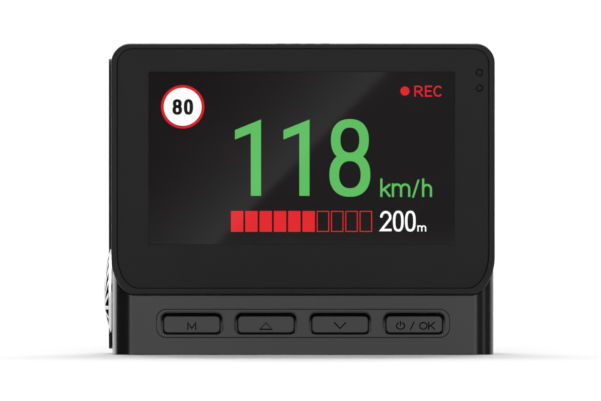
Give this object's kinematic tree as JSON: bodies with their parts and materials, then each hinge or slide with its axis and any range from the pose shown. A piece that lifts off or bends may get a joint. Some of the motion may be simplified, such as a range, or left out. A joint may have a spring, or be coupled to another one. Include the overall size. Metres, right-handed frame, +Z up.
{
  "type": "radar detector",
  "caption": "Dashboard radar detector with a display above tilted keys, a rear radome panel, and a camera barrel tilted by a ribbed knob on the left side.",
  "frame": {"origin": "on the flat underside of the base, midway between the sides, 17 mm behind the front face of the display frame", "axes": "+X to the right seen from the display side, +Y from the display to the rear face, +Z up"},
  "size_m": [0.085, 0.041, 0.0675],
  "materials": {
    "frame_plastic": "satin moulded black",
    "plate_plastic": "satin moulded black",
    "black_glass": "gloss black display pane",
    "housing_plastic": "fine-textured dark grey",
    "key_plastic": "satin dark grey",
    "cover_plastic": "gloss black",
    "radome_plastic": "gloss black",
    "laser_plastic": "deep red tinted",
    "knob_metal": "turned and polished",
    "barrel_plastic": "satin black",
    "lens_plastic": "semi-gloss black",
    "lens_glass": "coated lens",
    "sheet_metal": "tin plated",
    "screw_steel": "zinc plated",
    "board": "solder mask green",
    "cell": "display cell",
    "diffuser": "white diffuser",
    "flex": "polyimide film",
    "dark_plastic": "black moulded",
    "can_sleeve": "sleeved capacitor can",
    "ceramic": "dielectric ceramic",
    "horn_metal": "die cast",
    "brass": "brass",
    "gold": "gold plated",
    "washer": "natural acetal"
  },
  "bodies": {
    "housing": {"front_frame": "frame_plastic", "face_plate": "plate_plastic", "display_glass": "black_glass", "lcd_panel": "cell", "backlight": "diffuser", "display_tray": "sheet_metal", "display_flex": "flex", "brightness_sensor": "dark_plastic", "remote_receiver": "dark_plastic", "front_housing": "housing_plastic", "rear_housing": "housing_plastic", "button_frame": "key_plastic", "key_switches": "sheet_metal", "key_board": "board", "key_board_screws": "screw_steel", "main_board": "board", "main_board_screws": "screw_steel", "processor_shield": "sheet_metal", "supercapacitors": "can_sleeve", "gps_antenna": "ceramic", "card_socket": "sheet_metal", "power_socket": "sheet_metal", "radome_panel": "radome_plastic", "laser_lens": "laser_plastic", "laser_sensor": "dark_plastic", "radar_horn": "horn_metal", "radar_board": "board", "radar_shield": "sheet_metal", "radar_board_spacers": "brass", "speaker": "dark_plastic", "speaker_grille": "dark_plastic", "left_side_cover": "cover_plastic", "barrel_bracket": "sheet_metal", "bracket_screws": "screw_steel", "friction_washer": "washer", "contact_pads": "gold", "mount_magnets": "screw_steel", "housing_screws": "screw_steel"},
    "mode_button": {"mode_key": "key_plastic", "mode_plunger": "dark_plastic"},
    "up_button": {"up_key": "key_plastic", "up_plunger": "dark_plastic"},
    "down_button": {"down_key": "key_plastic", "down_plunger": "dark_plastic"},
    "power_button": {"power_key": "key_plastic", "power_plunger": "dark_plastic"},
    "card": {"memory_card": "dark_plastic"},
    "camera_barrel": {"tilt_knob": "knob_metal", "barrel_shell": "barrel_plastic", "lens_nose": "lens_plastic", "lens_glass": "lens_glass", "lens_tube": "dark_plastic", "image_sensor": "dark_plastic", "sensor_board": "board", "axle_clip": "screw_steel"}
  },
  "joints": [
    {"name": "mode_press", "type": "slide", "parent": "housing", "child": "mode_button", "axis": [0, 0.9659, -0.2588], "range_m": [0, 0.0004], "stiffness_N_per_m": 1500},
    {"name": "up_press", "type": "slide", "parent": "housing", "child": "up_button", "axis": [0, 0.9659, -0.2588], "range_m": [0, 0.0004], "stiffness_N_per_m": 1500},
    {"name": "down_press", "type": "slide", "parent": "housing", "child": "down_button", "axis": [0, 0.9659, -0.2588], "range_m": [0, 0.0004], "stiffness_N_per_m": 1500},
    {"name": "power_press", "type": "slide", "parent": "housing", "child": "power_button", "axis": [0, 0.9659, -0.2588], "range_m": [0, 0.0004], "stiffness_N_per_m": 1500},
    {"name": "camera_tilt", "type": "hinge", "parent": "housing", "child": "camera_barrel", "pos_m": [-0.026, 0.0074, 0.0136], "axis": [1, 0, 0], "range_deg": [-25, 25]},
    {"name": "card_slide", "type": "slide", "parent": "housing", "child": "card", "axis": [1, 0, 0], "range_m": [0, 0.012]}
  ]
}
